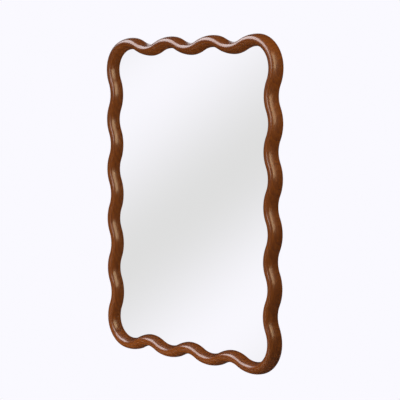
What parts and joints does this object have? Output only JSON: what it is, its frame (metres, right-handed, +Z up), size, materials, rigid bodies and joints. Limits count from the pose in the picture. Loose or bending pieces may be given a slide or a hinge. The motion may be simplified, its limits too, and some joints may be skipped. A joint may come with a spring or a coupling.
{
  "type": "wavy wall mirror",
  "caption": "Rectangular wall mirror in a deep, domed wooden frame whose sides run in waves round soft corners, hung by two swinging D rings on its back.",
  "frame": {"origin": "centre of the mirror's outline, on the wall plane that its four bumpers touch", "axes": "+X to the right for someone facing the mirror, +Y into the wall, +Z up"},
  "size_m": [0.762, 0.049, 1.016],
  "materials": {
    "stained_wood": "satin lacquer over a red-brown stain",
    "beech": "bare beech dowel",
    "mirror": "silvered float glass with ground edges",
    "foam": "soft closed-cell foam",
    "setting_rubber": "firm black rubber",
    "backing": "black-faced fibreboard, matte",
    "zinc": "bright zinc-plated steel",
    "nickel": "nickel-plated steel",
    "bumper_rubber": "soft black rubber"
  },
  "bodies": {
    "frame": {"top_rail": "stained_wood", "bottom_rail": "stained_wood", "left_stile": "stained_wood", "right_stile": "stained_wood", "corner_dowels": "beech", "mirror_glass": "mirror", "foam_pad": "foam", "setting_blocks": "setting_rubber", "backing_board": "backing", "board_screws": "zinc", "left_hanger_strap": "nickel", "left_hanger_screws": "zinc", "right_hanger_strap": "nickel", "right_hanger_screws": "zinc", "top_left_bumper": "bumper_rubber", "top_right_bumper": "bumper_rubber", "bottom_left_bumper": "bumper_rubber", "bottom_right_bumper": "bumper_rubber"},
    "left_ring": {"left_hanger_ring": "nickel"},
    "right_ring": {"right_hanger_ring": "nickel"}
  },
  "joints": [
    {"name": "left_ring_swing", "type": "hinge", "parent": "frame", "child": "left_ring", "pos_m": [-0.364, -0.00347, 0.2621], "axis": [1, 0, 0], "range_deg": [0, 175]},
    {"name": "right_ring_swing", "type": "hinge", "parent": "frame", "child": "right_ring", "pos_m": [0.364, -0.00347, 0.2621], "axis": [1, 0, 0], "range_deg": [0, 175]}
  ]
}
